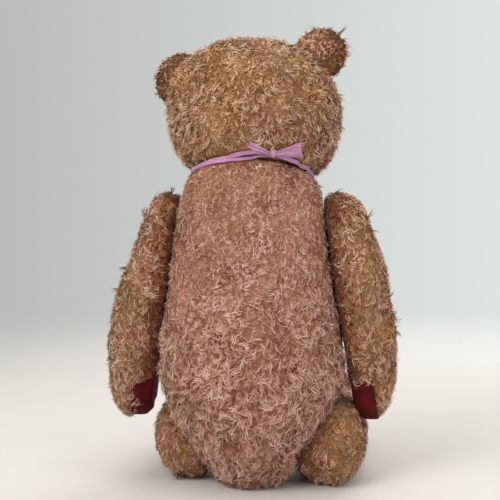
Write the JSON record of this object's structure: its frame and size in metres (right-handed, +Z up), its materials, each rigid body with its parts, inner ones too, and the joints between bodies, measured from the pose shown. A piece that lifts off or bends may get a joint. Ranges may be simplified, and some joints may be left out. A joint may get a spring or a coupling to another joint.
{
  "type": "teddy bear",
  "caption": "Large old disc-jointed teddy bear, sitting, in worn pink and tan mohair pile with red felt pads and a knotted lilac neck ribbon.",
  "frame": {"origin": "middle of the bear's own box on the surface it sits on", "axes": "+Z up, bear faces -Y, its left side at +X"},
  "size_m": [0.295, 0.2992, 0.4708],
  "materials": {
    "worn_pink_pile": "worn, matted mohair pile, dusty pink-beige, thin and greyed with age",
    "worn_tan_pile": "worn, matted mohair pile, golden tan faded towards pink",
    "brown_ear_pile": "worn brown pile with dark, frayed edges and a bald pink patch",
    "dark_red_felt": "short-napped dark red felt, rubbed",
    "wood_wool": "packed wood-wool stuffing, unseen",
    "hardboard": "plain pressed board, unseen",
    "dull_steel": "plain steel gone dull, unseen",
    "black_boot_button": "glossy black with fine scratches",
    "black_wool_thread": "black wool stitches, worn",
    "lilac_ribbon": "old lilac satin ribbon, creased, with frayed cut ends"
  },
  "bodies": {
    "body": {"body_left_panel": "worn_pink_pile", "body_right_panel": "worn_pink_pile", "body_stuffing": "wood_wool", "left_hip_body_disc": "hardboard", "left_hip_body_washer": "dull_steel", "left_hip_pin": "dull_steel", "left_shoulder_body_disc": "hardboard", "left_shoulder_body_washer": "dull_steel", "left_shoulder_pin": "dull_steel", "neck_body_disc": "hardboard", "neck_body_washer": "dull_steel", "neck_pin": "dull_steel", "right_hip_body_disc": "hardboard", "right_hip_body_washer": "dull_steel", "right_hip_pin": "dull_steel", "right_shoulder_body_disc": "hardboard", "right_shoulder_body_washer": "dull_steel", "right_shoulder_pin": "dull_steel"},
    "head": {"head_gusset": "worn_tan_pile", "head_left_panel": "worn_tan_pile", "head_right_panel": "worn_tan_pile", "head_stuffing": "wood_wool", "left_ear": "brown_ear_pile", "left_eye": "black_boot_button", "mouth_stitching": "black_wool_thread", "neck_head_disc": "hardboard", "neck_head_washer": "dull_steel", "neck_ribbon": "lilac_ribbon", "nose_stitching": "black_wool_thread", "right_ear": "brown_ear_pile", "right_eye": "black_boot_button"},
    "left_arm": {"left_arm_inner_panel": "worn_pink_pile", "left_arm_outer_panel": "worn_tan_pile", "left_arm_stuffing": "wood_wool", "left_paw_pad": "dark_red_felt", "left_shoulder_arm_disc": "hardboard", "left_shoulder_arm_washer": "dull_steel"},
    "left_leg": {"left_foot_pad": "dark_red_felt", "left_hip_leg_disc": "hardboard", "left_hip_leg_washer": "dull_steel", "left_leg_inner_panel": "worn_pink_pile", "left_leg_outer_panel": "worn_tan_pile", "left_leg_stuffing": "wood_wool"},
    "right_arm": {"right_arm_inner_panel": "worn_pink_pile", "right_arm_outer_panel": "worn_tan_pile", "right_arm_stuffing": "wood_wool", "right_paw_pad": "dark_red_felt", "right_shoulder_arm_disc": "hardboard", "right_shoulder_arm_washer": "dull_steel"},
    "right_leg": {"right_foot_pad": "dark_red_felt", "right_hip_leg_disc": "hardboard", "right_hip_leg_washer": "dull_steel", "right_leg_inner_panel": "worn_pink_pile", "right_leg_outer_panel": "worn_tan_pile", "right_leg_stuffing": "wood_wool"}
  },
  "joints": [
    {"name": "neck_turn", "type": "hinge", "parent": "body", "child": "head", "pos_m": [0, 0.06657, 0.32], "axis": [0, -0.309, 0.9511], "continuous": true},
    {"name": "left_shoulder_turn", "type": "hinge", "parent": "body", "child": "left_arm", "pos_m": [0.07496, 0.06657, 0.272], "axis": [-0.9877, 0, -0.1564], "range_deg": [-60, 100]},
    {"name": "left_hip_turn", "type": "hinge", "parent": "body", "child": "left_leg", "pos_m": [0.04, 0.04657, 0.045], "axis": [0.9994, 0.0349, 0], "range_deg": [0, 90]},
    {"name": "right_shoulder_turn", "type": "hinge", "parent": "body", "child": "right_arm", "pos_m": [-0.07496, 0.06657, 0.272], "axis": [-0.9877, 0, 0.1564], "range_deg": [-60, 100]},
    {"name": "right_hip_turn", "type": "hinge", "parent": "body", "child": "right_leg", "pos_m": [-0.047, 0.05658, 0.045], "axis": [0.9986, -0.0523, 0], "range_deg": [0, 90]}
  ]
}
